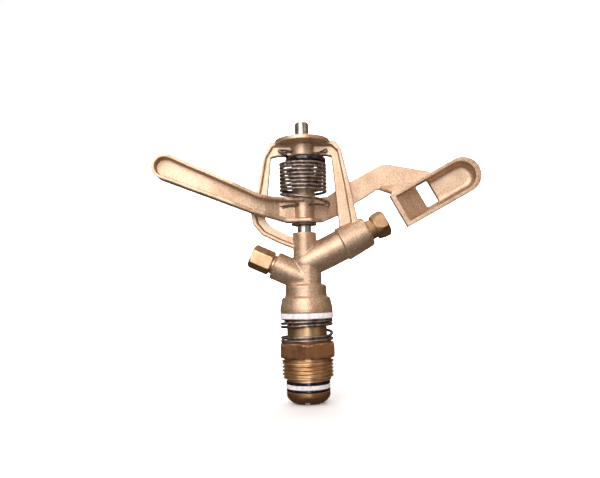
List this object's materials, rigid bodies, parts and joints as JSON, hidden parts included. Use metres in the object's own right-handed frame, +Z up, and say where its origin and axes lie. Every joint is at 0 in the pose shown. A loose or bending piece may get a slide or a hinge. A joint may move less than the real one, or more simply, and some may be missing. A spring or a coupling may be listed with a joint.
{
  "type": "impact irrigation sprinkler",
  "caption": "Cast impact sprinkler with a sprung swinging arm, a long and a short jet nozzle, and a threaded turning base.",
  "frame": {"origin": "on the turning axis, where the inlet thread meets the underside of the hexagon", "axes": "+Z up the turning axis, +X the way the main jet points, -Y the side the spoon opens to"},
  "size_m": [0.2124, 0.0395, 0.1832],
  "materials": {
    "cast_bronze": "sand-cast, lightly blasted, fine grain",
    "turned_brass": "turned and polished",
    "spring_steel": "drawn wire, dark",
    "stainless": "ground bar",
    "black_rubber": "moulded, slightly glossy",
    "white_plastic": "turned fluoropolymer",
    "bush_plastic": "moulded"
  },
  "bodies": {
    "bearing": {"bearing_nipple": "turned_brass", "sand_spring": "spring_steel"},
    "thrust_pack": {"spring_cap": "spring_steel", "thrust_washer": "white_plastic"},
    "rotor": {"body_casting": "cast_bronze", "spindle_tube": "turned_brass", "seal_washer_top": "black_rubber", "ptfe_seal_ring": "white_plastic", "seal_washer_bottom": "black_rubber", "main_nozzle": "turned_brass", "rear_nozzle": "turned_brass", "rear_nozzle_gasket": "turned_brass", "flow_straightener": "white_plastic", "fulcrum_pin": "stainless", "upper_split_pin": "spring_steel", "spring_seat_ring": "black_rubber", "arm_rest_washer": "black_rubber"},
    "arm": {"swing_arm": "cast_bronze", "arm_bush_lower": "bush_plastic", "arm_bush_upper": "bush_plastic", "lower_split_pin": "spring_steel", "arm_spring": "spring_steel"}
  },
  "joints": [
    {"name": "float", "type": "slide", "parent": "bearing", "child": "thrust_pack", "axis": [0, 0, 1], "range_m": [-0.003, 0], "stiffness_N_per_m": 3000, "springref_m": 0.01, "deforming": ["sand_spring"]},
    {"name": "spin", "type": "hinge", "parent": "thrust_pack", "child": "rotor", "pos_m": [0, 0, 0.0284], "axis": [0, 0, 1], "continuous": true},
    {"name": "arm_swing", "type": "hinge", "parent": "rotor", "child": "arm", "pos_m": [0, 0, 0.087], "axis": [0, 0, 1], "range_deg": [0, 120], "stiffness_Nm_per_rad": 0.05, "springref_deg": -34.38, "deforming": ["arm_spring"]}
  ]
}
